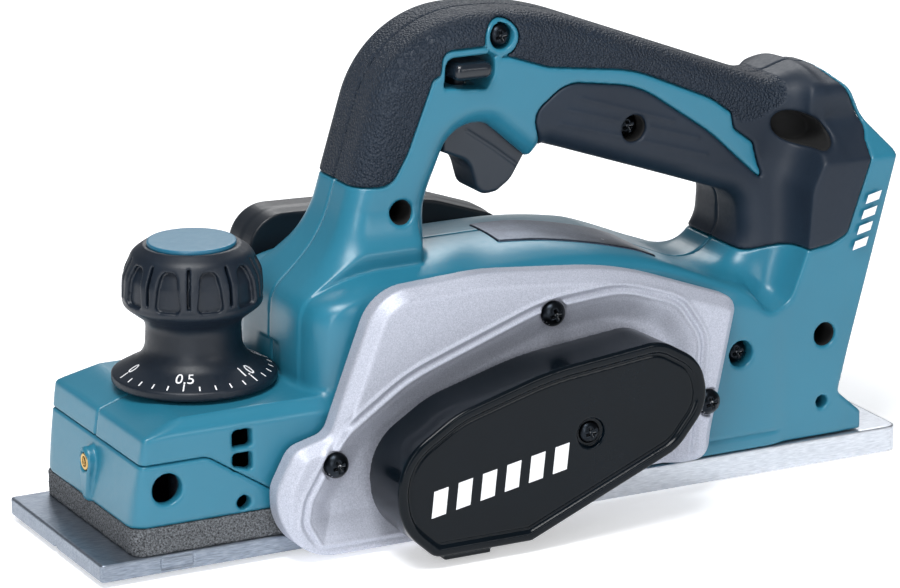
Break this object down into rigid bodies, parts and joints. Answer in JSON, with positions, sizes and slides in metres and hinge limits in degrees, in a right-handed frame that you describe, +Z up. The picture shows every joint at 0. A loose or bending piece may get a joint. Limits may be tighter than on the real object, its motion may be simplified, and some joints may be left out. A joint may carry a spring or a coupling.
{
  "type": "electric hand planer",
  "caption": "Cordless hand planer with a D-shaped handle, a depth knob over the front sole, a side belt cover, a chip outlet and a leaning battery seat.",
  "frame": {"origin": "on the rear sole plane, under the middle of the soles and on the joint plane of the casing halves", "axes": "+X towards the battery end, so the depth knob is towards -X; +Y towards the chip outlet, so the belt cover is towards -Y; +Z up, away from the work"},
  "size_m": [0.32, 0.157, 0.1782],
  "materials": {
    "teal_casing": "fine moulded grain, satin",
    "grip_rubber": "leather-like grain, matte",
    "knob_rubber": "fine grain, matte",
    "machined_sole": "machined, brushed",
    "seal_foam": "open foam, speckled",
    "painted_frame": "silver paint with a fine speckle",
    "gloss_cover": "high gloss",
    "black_plastic": "fine moulded grain",
    "black_screws": "black oxide",
    "bolt_steel": "dark, satin",
    "turned_steel": "turned",
    "bearing_steel": "ground",
    "blade_steel": "ground edge",
    "belt_rubber": "matte",
    "brass_parts": "satin",
    "motor_copper": "lacquered",
    "plate_metal": "dark, satin"
  },
  "bodies": {
    "housing": {"left_casing": "teal_casing", "right_casing": "teal_casing", "nose_skirt": "teal_casing", "left_grip": "grip_rubber", "right_grip": "grip_rubber", "rear_base": "machined_sole", "front_seal": "seal_foam", "side_frame": "painted_frame", "bearing_plate": "painted_frame", "belt_cover": "gloss_cover", "chip_outlet": "black_plastic", "switch_body": "black_plastic", "terminal_block": "black_plastic", "handle_screw_front": "black_screws", "handle_screw_rear": "black_screws", "handle_leg_screw": "black_screws", "casing_screw_front": "black_screws", "casing_screw_rear": "black_screws", "frame_screw_front": "black_screws", "frame_screw_top": "black_screws", "frame_screw_rear": "black_screws", "belt_cover_screw": "black_screws", "trigger_pin": "turned_steel", "foot_pin": "turned_steel", "motor_can": "turned_steel", "drum_bearing_left": "bearing_steel", "drum_bearing_right": "bearing_steel", "motor_bearing_left": "bearing_steel", "motor_bearing_right": "bearing_steel", "drive_belt": "belt_rubber", "guide_insert": "brass_parts", "brush_upper": "brass_parts", "brush_lower": "brass_parts", "name_plate": "plate_metal"},
    "knob": {"depth_knob": "knob_rubber", "knob_cap": "teal_casing", "knob_spindle": "turned_steel"},
    "front_sole_body": {"front_base": "machined_sole", "lift_post": "painted_frame"},
    "drum": {"cutter_drum": "turned_steel", "blade_a": "blade_steel", "blade_clamp_a": "turned_steel", "clamp_bolt_a1": "bolt_steel", "clamp_bolt_a2": "bolt_steel", "blade_b": "blade_steel", "blade_clamp_b": "turned_steel", "clamp_bolt_b1": "bolt_steel", "clamp_bolt_b2": "bolt_steel", "drum_pulley": "turned_steel"},
    "armature": {"armature_shaft": "turned_steel", "armature_core": "motor_copper", "commutator": "motor_copper", "cooling_fan": "black_plastic", "motor_pulley": "turned_steel"},
    "trigger_body": {"trigger": "black_plastic"},
    "lock_body": {"lock_lever": "black_plastic"},
    "foot_body": {"park_foot": "black_plastic"}
  },
  "joints": [
    {"name": "knob_turn", "type": "hinge", "parent": "housing", "child": "knob", "pos_m": [-0.1057, 0, 0.08], "axis": [0, 0, 1], "range_deg": [-64, 184]},
    {"name": "front_base_lift", "type": "slide", "parent": "housing", "child": "front_sole_body", "axis": [0, 0, 1], "range_m": [-0.0015, 0.0005]},
    {"name": "drum_spin", "type": "hinge", "parent": "housing", "child": "drum", "pos_m": [-0.038, 0, 0.028], "axis": [0, 1, 0], "continuous": true},
    {"name": "motor_spin", "type": "hinge", "parent": "housing", "child": "armature", "pos_m": [0.0355, 0, 0.0483], "axis": [0, 1, 0], "continuous": true},
    {"name": "trigger_pull", "type": "hinge", "parent": "housing", "child": "trigger_body", "pos_m": [-0.007, 0, 0.14], "axis": [0, -1, 0], "range_deg": [0, 8], "stiffness_Nm_per_rad": 0.5, "springref_deg": -6.88},
    {"name": "lock_push", "type": "slide", "parent": "housing", "child": "lock_body", "axis": [0, 0, -1], "range_m": [0, 0.003], "stiffness_N_per_m": 400, "springref_m": -0.003},
    {"name": "foot_swing", "type": "hinge", "parent": "housing", "child": "foot_body", "pos_m": [0.128, 0, 0.0145], "axis": [0, 1, 0], "range_deg": [0, 22]}
  ],
  "couplings": [
    {"joint": "knob_turn", "follows": "front_base_lift", "rad_per_m": -2094.4},
    {"joint": "motor_spin", "follows": "drum_spin", "ratio": 1.5455}
  ]
}
